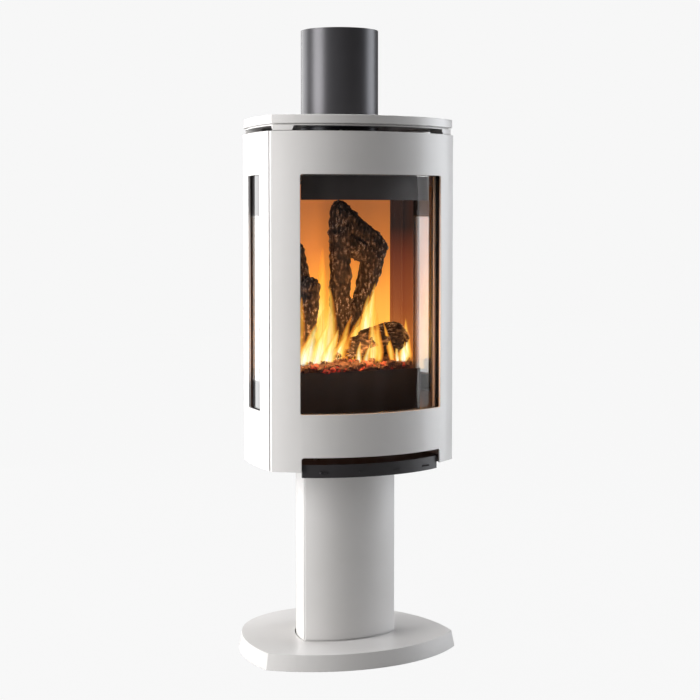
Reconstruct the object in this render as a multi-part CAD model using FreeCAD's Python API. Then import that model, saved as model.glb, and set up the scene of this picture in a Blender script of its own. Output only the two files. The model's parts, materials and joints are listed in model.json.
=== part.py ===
"""Gas stove on a pedestal: a curved steel casing round a room-sealed firebox, millimetres, +Z up.

Everything is drawn with the flue axis at X = Y = 0, front towards -Y and the floor at Z = 0.
Each piece is shifted on export so that the origin lies under the middle of the base plate.
"""

import FreeCAD, Part
import math
import os

V = FreeCAD.Vector
UP = V(0, 0, 1)
ALONG_X = V(1, 0, 0)
ALONG_Y = V(0, 1, 0)

# Plan outlines: a front arc, two side arcs and a back arc that is tangent to them.
# front = distance to the front of the arc, half = greatest half-width, half_y = where it occurs.
BASE = dict(front=204.7, front_r=333.2, half=232.6, half_y=-49.5, side_r=355.4, back=233.8)
CASING = dict(front=202.4, front_r=327.8, half=216.4, half_y=-84.9, side_r=626.8, back=218.6)
PEDESTAL = dict(front=89.8, front_r=179.7, half=108.1, half_y=-53.6, side_r=230.0, back=100.0)

# Heights
BASE_TOP = 34.0
BODY_BOTTOM = 419.0
BODY_TOP = 1126.0
SPACER_BOTTOM = 1136.5
GROOVE_BOTTOM = 1138.5
TOP_PLATE_BOTTOM = 1141.0
TOP_PLATE_TOP = 1159.0
FLUE_TOP = 1351.0

# Base and pedestal
BASE_TAPER = 6.4
BASE_RIM = 12.0
BASE_SKIN = 5.0
SLOT_GAP = 2.5
BALLAST = (8.0, 20.0)
BALLAST_INSET = 16.0
PEDESTAL_WALL = 3.0
FLANGE = 6.0
PEDESTAL_DOOR = (36.0, 404.0)
PEDESTAL_PIN = (101.5, -48.2)
PEDESTAL_SIDE_START = {"left": -48.0, "right": -40.0}

# Casing
PANEL = 5.0
PLATE = 3.0
SIDE_PANEL_START = {"left": -111.5, "right": -105.5}
REAR_SPLIT = 110.0
DOOR_HALF = 215.2
DOOR_TOP = 1125.4
DOOR_PIN = (206.5, -115.8)
DOOR_SWEEP_R = 11.2
WINDOW_HALF = 165.0
WINDOW = (539.0, 1036.5)
WINDOW_RADIUS = 4.0
NOTCH_HALF = 163.0
NOTCH_TOP = 449.0
NOTCH_RADIUS = 5.0
SIDE_WINDOW_Y = (-63.0, 19.0)
LIP = dict(half=159.0, bottom=406.5, top=434.0, front=198.0, radius=308.0, thickness=4.0)

# Front glass: distances are insets from the casing's front arc
FRAME_INSET = (11.5, 15.5)
GLASS_INSET = (16.0, 20.0)
GASKET_INSET = (20.2, 27.8)
FLANGE_INSET = (28.0, 31.0)
FRAME_HALF = 190.0
GLASS_HALF = 181.0
GASKET_HALF = 165.0
FRONT_FLANGE_HALF = 205.0
FRAME_Z = (512.0, 1062.0)
GLASS_Z = (524.0, 1050.0)
FLANGE_Z = (500.0, 1074.0)
LATCH_X = 196.5
LATCH_Z = (610.0, 965.0)

# Side glass: insets from the casing's side arc
SIDE_GASKET_INSET = (12.2, 14.8)
SIDE_GLASS_INSET = (8.0, 12.0)
SIDE_GLASS_Y = (-80.0, 36.0)
SIDE_OPENING = (-62.0, 18.0, 560.0, 1016.0)

# Firebox
FIREBOX_INSET = 15.0
FIREBOX_SIDE = 2.0
FIREBOX_BACK_Y = 60.0
FIREBOX = (518.0, 1060.0)
LINER = dict(half=155.0, front=52.0, back=56.0, bottom=600.0, top=1020.0)
SKIRT = dict(half=165.0, front=89.0, radius=648.0, thickness=3.0, bottom=521.5, top=617.0)
TOP_SHIELD = (984.0, 1056.8)
BURNER = (560.0, 598.0)
EMBERS_TOP = 626.0

# Flue, a pair of coaxial pipes
FLUE_R = 84.0
FLUE_WALL = 1.5
INNER_FLUE_R = 50.8
FLUE_START = 1063.0

# Hinges and small parts
PIN_R = 2.5
LUG_R = 4.2
LUG = 4.0
CATCH_Z = (468.0, 492.0)
RUNNING = 0.05
BOLT_R = 4.0
HEAD_R = 6.5
HEAD_H = 4.0
FOOT_XY = [(-150.0, -60.0), (150.0, -60.0), (-110.0, 130.0), (110.0, 130.0)]
PIPE_HOLE_X = (-45.0, 45.0)
PIPE_HOLE_Y = (-14.0, 45.0)
FLANGE_BOLT_XY = [(-70.0, -25.0), (70.0, -25.0), (-55.0, 55.0), (55.0, 55.0)]
TOP_SCREW_XY = [(-69.0, -150.0), (69.0, -150.0), (-90.0, 140.0), (90.0, 140.0)]
KNOB_Z = 300.0
KNOB_X = 32.0
CONTROL_FACE_Y = -38.0

FRONT_CENTRE_Y = CASING["front_r"] - CASING["front"]
BASE_CENTRE_Y = (BASE["back"] - BASE["front"]) / 2.0


# ---------------------------------------------------------------- shape helpers

def box(x, y, z):
    """A box from three (low, high) pairs."""
    size = [high - low for low, high in (x, y, z)]
    return Part.makeBox(size[0], size[1], size[2], V(x[0], y[0], z[0]))


def rod(radius, start, length, axis=UP):
    return Part.makeCylinder(radius, length, V(*start), axis)


def fuse(shapes):
    joined = shapes[0]
    for shape in shapes[1:]:
        joined = joined.fuse(shape)
    return joined.removeSplitter()


def group(shapes):
    return Part.makeCompound(shapes)


def mirror_x(shape):
    return shape.mirror(V(0, 0, 0), ALONG_X)


def outline(plan, inset, z):
    """Closed wire of four tangent-ended arcs; inset moves it inwards by the same distance all round."""
    front_r = plan["front_r"] - inset
    side_r = plan["side_r"] - inset
    front_c = (0.0, plan["front_r"] - plan["front"])
    side_c = (plan["half"] - plan["side_r"], plan["half_y"])
    reach = plan["side_r"] - plan["back"]
    back_y = (side_c[0] ** 2 + side_c[1] ** 2 - reach ** 2) / (2 * (reach + side_c[1]))
    back_r = plan["back"] - back_y - inset
    gap = math.dist(front_c, side_c)
    along = (front_r ** 2 - side_r ** 2 + gap ** 2) / (2 * gap)
    across = math.sqrt(front_r ** 2 - along ** 2)
    ux = (side_c[0] - front_c[0]) / gap
    uy = (side_c[1] - front_c[1]) / gap
    corner = (front_c[0] + along * ux - across * uy, front_c[1] + along * uy + across * ux)
    start = math.atan2(corner[1] - side_c[1], corner[0] - side_c[0])
    end = math.atan2(back_y - side_c[1], -side_c[0])
    middle = (start + end) / 2
    on_side = [(side_c[0] + side_r * math.cos(a), side_c[1] + side_r * math.sin(a)) for a in (middle, end)]
    points = {
        "corner": V(corner[0], corner[1], z),
        "side": V(on_side[0][0], on_side[0][1], z),
        "join": V(on_side[1][0], on_side[1][1], z),
    }
    left = {name: V(-p.x, p.y, z) for name, p in points.items()}
    arcs = [
        Part.Arc(left["corner"], V(0, front_c[1] - front_r, z), points["corner"]),
        Part.Arc(points["corner"], points["side"], points["join"]),
        Part.Arc(points["join"], V(0, back_y + back_r, z), left["join"]),
        Part.Arc(left["join"], left["side"], left["corner"]),
    ]
    return Part.Wire([arc.toShape() for arc in arcs])


def prism(plan, inset, z):
    face = Part.Face(outline(plan, inset, z[0]))
    return face.extrude(V(0, 0, z[1] - z[0]))


def ring(plan, outer, inner, z):
    return prism(plan, outer, z).cut(prism(plan, inner, (z[0] - 1, z[1] + 1)))


def front_band(inset, half, z, centre_y=FRONT_CENTRE_Y, radius=CASING["front_r"]):
    """Upright curved plate parallel to the front arc, between two insets, cut off square at +-half."""
    height = z[1] - z[0]
    outer = rod(radius - inset[0], (0, centre_y, z[0]), height)
    inner = rod(radius - inset[1], (0, centre_y, z[0] - 1), height + 2)
    keep = box((-half, half), (centre_y - radius - 1, 0), z)
    return outer.cut(inner).common(keep)


def window(half, z, radius, y=(-260.0, -60.0)):
    """Cutter through the front with rounded corners."""
    cutter = box((-half, half), y, z)
    upright = [e for e in cutter.Edges if abs(e.tangentAt(e.FirstParameter).y) > 0.9]
    return cutter.makeFillet(radius, upright)


def bolts(places, z_head, length, up=True):
    """Identical screws: a head at z_head and a shank running away from it."""
    pieces = []
    for x, y in places:
        direction = UP if up else -UP
        shank = rod(BOLT_R, (x, y, z_head), length, direction)
        head = rod(HEAD_R, (x, y, z_head), HEAD_H, -direction)
        pieces.append(fuse([shank, head]))
    return group(pieces)


# ---------------------------------------------------------------- base and pedestal

def base_plate():
    bottom = outline(BASE, 0, 0)
    top = outline(BASE, BASE_TAPER, BASE_TOP)
    solid = Part.makeLoft([bottom, top], True, True)
    hollow = prism(BASE, BASE_RIM, (-1, BASE_TOP - BASE_SKIN))
    slot = prism(PEDESTAL, -SLOT_GAP, (0, BASE_TOP + 1))
    return solid.cut(hollow).cut(slot)


def ballast_plate():
    plate = prism(BASE, BALLAST_INSET, BALLAST)
    height = BALLAST[1] - BALLAST[0] + 2
    plate = plate.cut(box(PIPE_HOLE_X, PIPE_HOLE_Y, (BALLAST[0] - 1, BALLAST[1] + 1)))
    for x, y in FOOT_XY + FLANGE_BOLT_XY:
        plate = plate.cut(rod(BOLT_R + 0.3, (x, y, BALLAST[0] - 1), height))
    return plate


def levelling_feet():
    feet = []
    for x, y in FOOT_XY:
        pad = rod(14, (x, y, 0), 5)
        stud = rod(BOLT_R, (x, y, 5), 21)
        feet.append(fuse([pad, stud]))
    return group(feet)


def flange(low):
    """Plate inside the pedestal with a hole for the pipes and four bolt holes."""
    plate = prism(PEDESTAL, PEDESTAL_WALL + 0.2, (low, low + FLANGE))
    plate = plate.cut(box(PIPE_HOLE_X, PIPE_HOLE_Y, (low - 1, low + FLANGE + 1)))
    for x, y in FLANGE_BOLT_XY:
        plate = plate.cut(rod(BOLT_R + 0.3, (x, y, low - 1), FLANGE + 2))
    return plate


def pedestal_flanges():
    return group([flange(BALLAST[1]), flange(BODY_BOTTOM - FLANGE)])


def pedestal_shell():
    """Wrapped sheet, closed at foot and head, with the service opening in front."""
    shell = ring(PEDESTAL, 0, PEDESTAL_WALL, (BALLAST[1], BODY_BOTTOM))
    opening = (PEDESTAL_DOOR[0] - 0.6, PEDESTAL_DOOR[1] + 0.6)
    left = box((-200, 0), (-200, PEDESTAL_SIDE_START["left"]), opening)
    right = box((0, 200), (-200, PEDESTAL_SIDE_START["right"]), opening)
    return shell.cut(left).cut(right)


def flange_bolts():
    """Four screws down into the ballast plate and four up into the casing's bottom plate."""
    lower = bolts(FLANGE_BOLT_XY, BALLAST[1] + FLANGE, BALLAST[1] + FLANGE - 6, up=False)
    upper = bolts(FLANGE_BOLT_XY, BODY_BOTTOM - FLANGE, FLANGE + PLATE + 4)
    return group([lower, upper])


def pedestal_ear_heights():
    return [PEDESTAL_DOOR[0] + 20, PEDESTAL_DOOR[1] - 24]


def hinge_ear(pin, z, forward):
    """Tab on a door, bored tightly for its pin and reaching forward into the door's skin."""
    x, y = pin
    tab = box((x - 5, x + 3), (y - forward, y + 3), (z, z + LUG))
    return tab.cut(rod(PIN_R, (x, y, z - 1), LUG + 2))


def pedestal_door():
    """Curved cover with a hinge ear at its top and bottom, hung on the right."""
    skin = front_band((0, PEDESTAL_WALL), PEDESTAL["half"] - 0.2, PEDESTAL_DOOR,
                      PEDESTAL["front_r"] - PEDESTAL["front"], PEDESTAL["front_r"])
    return fuse([skin] + [hinge_ear(PEDESTAL_PIN, z, 7.5) for z in pedestal_ear_heights()])


def pedestal_hinge_pins():
    x, y = PEDESTAL_PIN
    low, high = pedestal_ear_heights()
    return group([rod(PIN_R, (x, y, low - 7), 7 + LUG), rod(PIN_R, (x, y, high), 7 + LUG)])


def pedestal_hinge_brackets():
    """Hooked lugs on the shell's right wall, under the lower ear and over the upper one."""
    x, y = PEDESTAL_PIN
    wall = PEDESTAL["half"] - PEDESTAL_WALL - 2.6
    low, high = pedestal_ear_heights()
    lugs = []
    for z in (low - LUG - 1, high + LUG + 1):
        height = (z, z + LUG)
        nose = rod(LUG_R, (x, y, z), LUG)
        arm = box((x - 14, x), (y - LUG_R, y + LUG_R), height)
        back = box((x - 14, x - 6), (y, y + 22), height)
        foot = box((x - 14, wall), (y + 14, y + 22), height)
        lug = fuse([nose, arm, back, foot])
        lugs.append(lug.cut(rod(PIN_R + RUNNING, (x, y, z - 1), LUG + 2)))
    return group(lugs)


def pedestal_magnet():
    """Magnet block on the left wall, curved to face the striker."""
    z = (PEDESTAL_DOOR[0] + PEDESTAL_DOOR[1]) / 2
    block = box((-104, -84), (-90, -36), (z - 15, z + 15))
    centre_y = PEDESTAL["front_r"] - PEDESTAL["front"]
    return block.common(rod(PEDESTAL["front_r"] - 5, (0, centre_y, z - 20), 40))


def pedestal_striker():
    z = (PEDESTAL_DOOR[0] + PEDESTAL_DOOR[1]) / 2
    plate = front_band((PEDESTAL_WALL, PEDESTAL_WALL + 1.2), 101, (z - 12, z + 12),
                       PEDESTAL["front_r"] - PEDESTAL["front"], PEDESTAL["front_r"])
    return plate.common(box((-101, -86), (-200, 0), (z - 12, z + 12)))


# ---------------------------------------------------------------- gas controls in the pedestal

def gas_valve():
    """Control block on a bracket, with two spindle bosses and the igniter's boss facing the front."""
    face = CONTROL_FACE_Y
    block = box((-52, 52), (face, face + 60), (KNOB_Z - 40, KNOB_Z + 40))
    bracket = box((-36, 36), (face + 60, 88), (KNOB_Z - 4, KNOB_Z))
    boss = rod(9, (0, face, KNOB_Z - 22), 4, -ALONG_Y)
    socket = rod(5.3, (0, face + 12, KNOB_Z - 22), 20, -ALONG_Y)
    valve = fuse([block, bracket, boss]).cut(socket)
    for x in (-KNOB_X, KNOB_X):
        valve = valve.cut(rod(PIN_R + RUNNING, (x, face + 10, KNOB_Z + 8), 12, -ALONG_Y))
    return valve


def knob(x, radius):
    """Gripped knob with its spindle, on the valve's front face."""
    face = CONTROL_FACE_Y - 1
    body = rod(radius, (x, face, KNOB_Z + 8), 13, -ALONG_Y)
    body = body.makeChamfer(1.5, [e for e in body.Edges if abs(e.CenterOfMass.y - (face - 13)) < 0.01])
    for step in range(12):
        a = math.radians(30 * step)
        groove = rod(1.6, (x + (radius + 0.6) * math.cos(a), face - 3, KNOB_Z + 8 + (radius + 0.6) * math.sin(a)),
                     12, -ALONG_Y)
        body = body.cut(groove)
    pointer = box((x - 1, x + 1), (face - 14, face - 12), (KNOB_Z + 8, KNOB_Z + 8 + radius - 3))
    spindle = rod(PIN_R, (x, face, KNOB_Z + 8), 9, ALONG_Y)
    return fuse([body, pointer, spindle])


def igniter_button():
    face = CONTROL_FACE_Y
    return rod(5.2, (0, face + 6, KNOB_Z - 22), 17, -ALONG_Y)


def shutoff_tap():
    """Tap body with its inlet stub pointing down through the base."""
    body = box((-14, 14), (2, 30), (120, 160))
    inlet = rod(7, (0, 16, 60), 60)
    nut = rod(12, (0, 16, 104), 16)
    tap = fuse([body, inlet, nut])
    return tap.cut(rod(PIN_R + RUNNING, (0, 12, 140), 14, -ALONG_Y))


def shutoff_lever():
    spindle = rod(PIN_R, (0, 10, 140), 11, -ALONG_Y)
    hub = rod(8, (0, 1, 140), 5, -ALONG_Y)
    arm = box((-5, 5), (-4, -1), (140, 185))
    return fuse([spindle, hub, arm])


def gas_pipes():
    """Straight risers: tap to valve, and valve to burner."""
    lower = rod(5, (0, 16, 160), KNOB_Z - 40 - 160)
    upper = rod(5, (0, 0, KNOB_Z + 40), BURNER[0] - KNOB_Z - 40)
    return group([lower, upper])


# ---------------------------------------------------------------- casing

def bottom_plate():
    z = (BODY_BOTTOM, BODY_BOTTOM + PLATE)
    behind_lip = LIP["radius"] - LIP["thickness"] - 0.3
    plate = prism(CASING, PANEL + 0.3, z)
    plate = plate.common(rod(behind_lip, (0, LIP["radius"] - LIP["front"], z[0]), PLATE))
    plate = plate.cut(box(PIPE_HOLE_X, PIPE_HOLE_Y, (z[0] - 1, z[1] + 1)))
    for x in (-120, 120):
        plate = plate.cut(box((x - 40, x + 40), (60, 120), (z[0] - 1, z[1] + 1)))
    for x, y in FLANGE_BOLT_XY:
        plate = plate.cut(rod(BOLT_R + 0.3, (x, y, z[0] - 1), PLATE + 2))
    return plate.cut(door_sweep(z))


def door_sweep(z):
    """Room round the hinge for the door's end as it swings."""
    x, y = DOOR_PIN
    return rod(DOOR_SWEEP_R, (x, y, z[0] - 1), PLATE + 2)


def top_frame():
    """Plate behind the casing's top edge, open round the flue and over the side air gaps."""
    z = (BODY_TOP - PLATE, BODY_TOP)
    plate = prism(CASING, PANEL + 0.3, z)
    plate = plate.cut(rod(FLUE_R + 12, (0, 0, z[0] - 1), PLATE + 2))
    for x, y in TOP_SCREW_XY:
        plate = plate.cut(rod(BOLT_R + 0.3, (x, y, z[0] - 1), PLATE + 2))
    for x in (-150, 150):
        plate = plate.cut(box((x - 25, x + 25), (-60, 55), (z[0] - 1, z[1] + 1)))
    return plate.cut(door_sweep(z))


def top_frame_screws():
    screws = []
    for x, y in TOP_SCREW_XY:
        shank = rod(BOLT_R, (x, y, BODY_TOP - 14), 14)
        dome = Part.makeSphere(6.0, V(x, y, BODY_TOP - 2)).common(box((x - 9, x + 9), (y - 9, y + 9), (BODY_TOP, BODY_TOP + 9)))
        screws.append(fuse([shank, dome]))
    return group(screws)


def side_panel(side):
    """Curved outer panel with a window; the left one is drawn first and the right one mirrored."""
    shell = ring(CASING, 0, PANEL, (BODY_BOTTOM, BODY_TOP))
    start = SIDE_PANEL_START[side]
    keep = box((-250, -20), (start, REAR_SPLIT), (BODY_BOTTOM, BODY_TOP))
    cutter = box((-250, -180), SIDE_WINDOW_Y, WINDOW)
    along = [e for e in cutter.Edges if abs(e.tangentAt(e.FirstParameter).x) > 0.9]
    panel = shell.common(keep).cut(cutter.makeFillet(WINDOW_RADIUS, along))
    return panel if side == "left" else mirror_x(panel)


def rear_panel():
    """Back cover with rows of air slots."""
    shell = ring(CASING, 0, PLATE, (BODY_BOTTOM, BODY_TOP))
    panel = shell.common(box((-250, 250), (REAR_SPLIT + 0.4, 260), (BODY_BOTTOM, BODY_TOP)))
    for x in range(-90, 91, 20):
        for low in (460, 1010):
            panel = panel.cut(box((x - 3, x + 3), (150, 260), (low, low + 70)))
    return panel


def front_door():
    """Full-height curved panel with the window, the notch over the lip, and two hinge ears."""
    skin = front_band((0, PANEL), DOOR_HALF, (BODY_BOTTOM, DOOR_TOP))
    skin = skin.cut(window(WINDOW_HALF, WINDOW, WINDOW_RADIUS))
    skin = skin.cut(window(NOTCH_HALF, (BODY_BOTTOM - 20, NOTCH_TOP), NOTCH_RADIUS))
    return fuse([skin] + [hinge_ear(DOOR_PIN, z, 9) for z in door_ear_heights()])


def door_ear_heights():
    return [BODY_BOTTOM + 15, DOOR_TOP - 20]


def door_hinge_pins():
    x, y = DOOR_PIN
    low, high = door_ear_heights()
    return group([rod(PIN_R, (x, y, low - 8), 8 + LUG), rod(PIN_R, (x, y, high), 8 + LUG)])


def door_hinge_brackets():
    """Lugs with pin holes: the lower one stands on the bottom plate, the upper hangs from the top frame."""
    x, y = DOOR_PIN
    low, high = door_ear_heights()
    spans = [(low - LUG - 1, (BODY_BOTTOM + PLATE, low - 1)),
             (high + LUG + 1, (high + LUG + 1, BODY_TOP - PLATE))]
    lugs = []
    for z, web_z in spans:
        nose = rod(LUG_R, (x, y, z), LUG)
        arm = box((x - 18, x), (y - LUG_R, y + LUG_R), (z, z + LUG))
        web = box((x - 18, x - 10), (y - LUG_R, y + LUG_R), web_z)
        lugs.append(fuse([nose, arm, web]).cut(rod(PIN_R + RUNNING, (x, y, z - 1), LUG + 2)))
    return group(lugs)


def door_magnet():
    """Magnet block on the left side panel, curved to face the striker."""
    block = box((-210.4, -192), (-140, -98), CATCH_Z)
    return block.common(rod(CASING["front_r"] - 7, (0, FRONT_CENTRE_Y, CATCH_Z[0] - 1), 40))


def door_striker():
    z = (CATCH_Z[0] + 3, CATCH_Z[1] - 3)
    plate = front_band((PANEL, PANEL + 1.2), 207, z)
    return plate.common(box((-207, -194), (-200, -80), z))


def ash_lip():
    """Curved black strip in the door's notch, with two arms back to the bottom plate."""
    centre_y = LIP["radius"] - LIP["front"]
    strip = front_band((0, LIP["thickness"]), LIP["half"], (LIP["bottom"], LIP["top"]), centre_y, LIP["radius"])
    arms = [box((x - 8, x + 8), (-197, -150), (BODY_BOTTOM - PLATE, BODY_BOTTOM)) for x in (-40, 40)]
    arms += [box((x - 8, x + 8), (-178, -130), (BODY_BOTTOM - PLATE, BODY_BOTTOM)) for x in (-120, 120)]
    return fuse([strip] + arms)


def top_spacer():
    """Cast ring under the top plate, on four feet, with a shadow groove above its edge."""
    rim = ring(CASING, 5, 34, (SPACER_BOTTOM, GROOVE_BOTTOM))
    neck = ring(CASING, 10, 34, (GROOVE_BOTTOM, TOP_PLATE_BOTTOM))
    feet = []
    for x, y, half in ((-188, -125, 24.5), (188, -125, 24.5), (-164, 89, 17), (164, 89, 17)):
        feet.append(spacer_foot(x, y, half))
    return fuse([rim, neck] + feet)


def spacer_foot(x, y, half):
    """Foot that narrows downwards, cut to the curve of the ring."""
    length = math.hypot(x, y)
    slope = math.atan2(y, x)
    if y < 0:
        slope = math.atan2(y - FRONT_CENTRE_Y, x)
    low, high = BODY_TOP + 0.2, SPACER_BOTTOM
    wedge = Part.makePolygon([V(0, -half + 4, low), V(0, half - 4, low), V(0, half, high), V(0, -half, high),
                              V(0, -half + 4, low)])
    block = Part.Face(wedge).extrude(V(40, 0, 0))
    block.rotate(V(0, 0, 0), UP, math.degrees(slope))
    block.translate(V(x - 20 * math.cos(slope), y - 20 * math.sin(slope), 0))
    return block.common(prism(CASING, 5, (low, high)))


def top_plate():
    plate = prism(CASING, 2, (TOP_PLATE_BOTTOM, TOP_PLATE_TOP))
    edges = [e for e in plate.Edges if abs(e.CenterOfMass.z - TOP_PLATE_TOP) < 0.01]
    plate = plate.makeChamfer(0.8, edges)
    return plate.cut(rod(FLUE_R + 1.5, (0, 0, TOP_PLATE_BOTTOM - 1), TOP_PLATE_TOP - TOP_PLATE_BOTTOM + 2))


# ---------------------------------------------------------------- glass

def front_frame_ring(inset, half, z, opening_half, opening_z, corner):
    band = front_band(inset, half, z)
    return band.cut(window(opening_half, opening_z, corner))


def front_glass():
    return front_band(GLASS_INSET, GLASS_HALF, GLASS_Z)


def glass_frame():
    return front_frame_ring(FRAME_INSET, FRAME_HALF, FRAME_Z, WINDOW_HALF + 6, (WINDOW[0] - 6, WINDOW[1] + 6), 5)


def glass_gasket():
    """Rope seal between the glass and the firebox flange."""
    low, high = WINDOW[0] - 11, WINDOW[1] + 11
    return front_frame_ring(GASKET_INSET, GASKET_HALF + 4, (low, high),
                            GASKET_HALF - 3.5, (low + 7.5, high - 7.5), 4)


def firebox_flange():
    return front_frame_ring(FLANGE_INSET, FRONT_FLANGE_HALF, FLANGE_Z,
                            GASKET_HALF - 4.5, (WINDOW[0] - 3, WINDOW[1] + 3), 4)


def glass_latch(x, z):
    """Turn-button: a boss on the flange and a tongue over the glass frame, pointing inwards at rest."""
    stand = FLANGE_INSET[0] - FRAME_INSET[0] + 0.3
    boss = rod(4, (0, 0, 0), stand)
    tongue = fuse([rod(5, (0, 0, stand), 3), box((0, 16), (-5, 5), (stand, stand + 3)),
                   rod(5, (16, 0, stand), 3), rod(3.2, (0, 0, stand + 3), 0.8)])
    latch = fuse([boss, tongue])
    outward = latch_axis(x)
    tangent = V(-outward.y, outward.x, 0) * (-1 if x > 0 else 1)
    foot = V(0, FRONT_CENTRE_Y, z) + outward * (CASING["front_r"] - FLANGE_INSET[0])
    latch.Placement = FreeCAD.Placement(foot, FreeCAD.Rotation(tangent, outward.cross(tangent), outward, "ZXY"))
    return latch


def latch_axis(x):
    """Outward normal of the front arc at this X."""
    across = x / (CASING["front_r"] - FRAME_INSET[0])
    return V(across, -math.sqrt(1 - across ** 2), 0)


def side_band(inset, y, z):
    """Left-hand upright plate that follows the casing's side arc between two insets."""
    shell = ring(CASING, inset[0], inset[1], z)
    return shell.common(box((-250, -20), y, z))


def side_glass():
    return side_band(SIDE_GLASS_INSET, SIDE_GLASS_Y, GLASS_Z)


def side_gasket():
    y0, y1, z0, z1 = SIDE_OPENING
    seal = side_band(SIDE_GASKET_INSET, (y0 - 12, y1 + 12), (z0 - 12, z1 + 12))
    return seal.cut(box((-250, -20), (y0 - 4, y1 + 4), (z0 - 4, z1 + 4)))


# ---------------------------------------------------------------- firebox

def firebox_shell():
    """Floor, roof, flat back and two curved side walls with glass openings, as one weldment."""
    inset = FIREBOX_INSET
    front = box((-250, 250), (-260, FIREBOX_BACK_Y), (0, 1300))
    behind_flange = rod(CASING["front_r"] - FLANGE_INSET[1] - 0.2, (0, FRONT_CENTRE_Y, 0), 1300)
    outer = prism(CASING, inset, FIREBOX)
    inner = prism(CASING, inset + FIREBOX_SIDE, (FIREBOX[0] + 3, FIREBOX[1] - 3))
    back = outer.common(box((-250, 250), (FIREBOX_BACK_Y, FIREBOX_BACK_Y + FIREBOX_SIDE), FIREBOX))
    walls = outer.cut(inner).common(front).fuse(back).common(behind_flange).removeSplitter()
    y0, y1, z0, z1 = SIDE_OPENING
    walls = walls.cut(box((-250, 250), (y0, y1), (z0, z1)))
    walls = walls.cut(rod(INNER_FLUE_R - 3, (0, 0, FIREBOX[1] - 5), 10))
    walls = walls.cut(rod(6, (0, 0, FIREBOX[0] - 2), 10))
    return walls.cut(box((-55, 55), (-58, -30), (FIREBOX[0] - 1, FIREBOX[0] + 4)))


def back_liner():
    half = LINER["half"]
    return box((-half, half), (LINER["front"], LINER["back"]), (LINER["bottom"], LINER["top"]))


def liner_strips():
    """Corner profiles that hold the liner's edges, with a rounded bead on the front edge."""
    half = LINER["half"]
    z = (LINER["bottom"], LINER["top"])
    strips = []
    for sign in (-1, 1):
        plate = box((half + 0.3, half + 24), (44, FIREBOX_BACK_Y), z)
        cover = box((half - 4, half + 24), (LINER["front"] - 3, LINER["front"]), z)
        bead = rod(3, (half + 22, 44, z[0]), z[1] - z[0])
        strip = fuse([plate, cover, bead])
        strips.append(strip if sign > 0 else mirror_x(strip))
    return group(strips)


def top_shield():
    return front_band((FLANGE_INSET[1] + 1, FLANGE_INSET[1] + 3), 150, TOP_SHIELD)


def baffle():
    plate = box((-140, 140), (-70, 44), (1026, 1029))
    legs = [box((x - 2, x + 2), (-70, 44), (1026, FIREBOX[1] - 3)) for x in (-138, 138)]
    return fuse([plate] + legs)


def burner_skirt():
    centre_y = SKIRT["radius"] - SKIRT["front"]
    return front_band((0, SKIRT["thickness"]), SKIRT["half"], (SKIRT["bottom"] - 0.5, SKIRT["top"]),
                      centre_y, SKIRT["radius"])


def tray_block(gap, half, back, z):
    """Block behind the skirt: curved front, square sides and back."""
    centre_y = SKIRT["radius"] - SKIRT["front"]
    disc = rod(SKIRT["radius"] - SKIRT["thickness"] - gap, (0, centre_y, z[0]), z[1] - z[0])
    return disc.common(box((-half, half), (-100, back), z))


def burner_tray():
    """Open tray with a gas inlet bush, on four legs."""
    tray = tray_block(0.5, 160, 51, BURNER).cut(tray_block(3, 157.5, 48.5, (BURNER[0] + 2, BURNER[1] + 1)))
    legs = [box((x - 5, x + 5), (y - 5, y + 5), (FIREBOX[0] + 3, BURNER[0])) for x in (-140, 140) for y in (-50, 30)]
    return fuse([tray] + legs)


def ember_bed():
    return tray_block(3.3, 150, 43.5, (BURNER[0] + 2.2, EMBERS_TOP))


def pilot():
    """Pilot hood, sensor and spark electrode on a bracket beside the burner."""
    bracket = box((-182, -166), (-20, 0), (FIREBOX[0] + 3, 606))
    hood = rod(6, (-174, -10, 606), 16)
    electrode = rod(1.5, (-179, -16, 606), 24)
    sensor = rod(1.5, (-169, -4, 606), 24)
    return fuse([bracket, hood, electrode, sensor])


def limb(points):
    """Tapered rounded branch through (x, y, z, radius) stations."""
    pieces = []
    for x, y, z, r in points:
        pieces.append(Part.makeSphere(r, V(x, y, z)))
    for (x0, y0, z0, r0), (x1, y1, z1, r1) in zip(points, points[1:]):
        start = V(x0, y0, z0)
        axis = V(x1, y1, z1) - start
        if abs(r0 - r1) < 0.01:
            pieces.append(Part.makeCylinder(r0, axis.Length, start, axis))
        else:
            pieces.append(Part.makeCone(r0, r1, axis.Length, start, axis))
    return fuse(pieces)


# Stations of the moulded logs: x, y, z, radius
LOG_CENTRE = [
    [(7, 16, 660, 24), (9, 16, 777, 22), (9, 16, 843, 21), (10, 16, 958, 24)],
    [(26, 16, 715, 22), (47, 16, 745, 19), (71, 16, 790, 18), (84, 16, 838, 25), (93, 16, 884, 26)],
    [(12, 16, 952, 22), (92, 16, 887, 25)],
    [(12, 16, 900, 24), (90, 16, 862, 25)],
]
LOG_RIGHT = [[(-24, -40, 648, 17), (46, -40, 674, 28), (113, -40, 683, 33)]]
LOG_LEFT = [[(-96, 12, 650, 24), (-92, 10, 760, 24), (-94, 10, 814, 23), (-104, 8, 872, 19)],
            [(-96, -24, 650, 19), (-90, -22, 715, 21), (-80, -20, 797, 21)]]


def log(branches):
    body = fuse([limb(points) for points in branches])
    return body.cut(box((-250, 250), (-250, 250), (500, EMBERS_TOP)))


# ---------------------------------------------------------------- air, flue and assembly

def air_shutter():
    """Plate that slides sideways under the air hole, with a finger tab."""
    plate = box((-60, 60), (-62, -26), (513.6, 515.6))
    plate = plate.cut(box((-50, 50), (-56, -32), (512, 517)))
    return fuse([plate, box((20, 32), (-46, -42), (490, 513.6)), box((20, 32), (-56, -32), (513.6, 515.6))])


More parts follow.
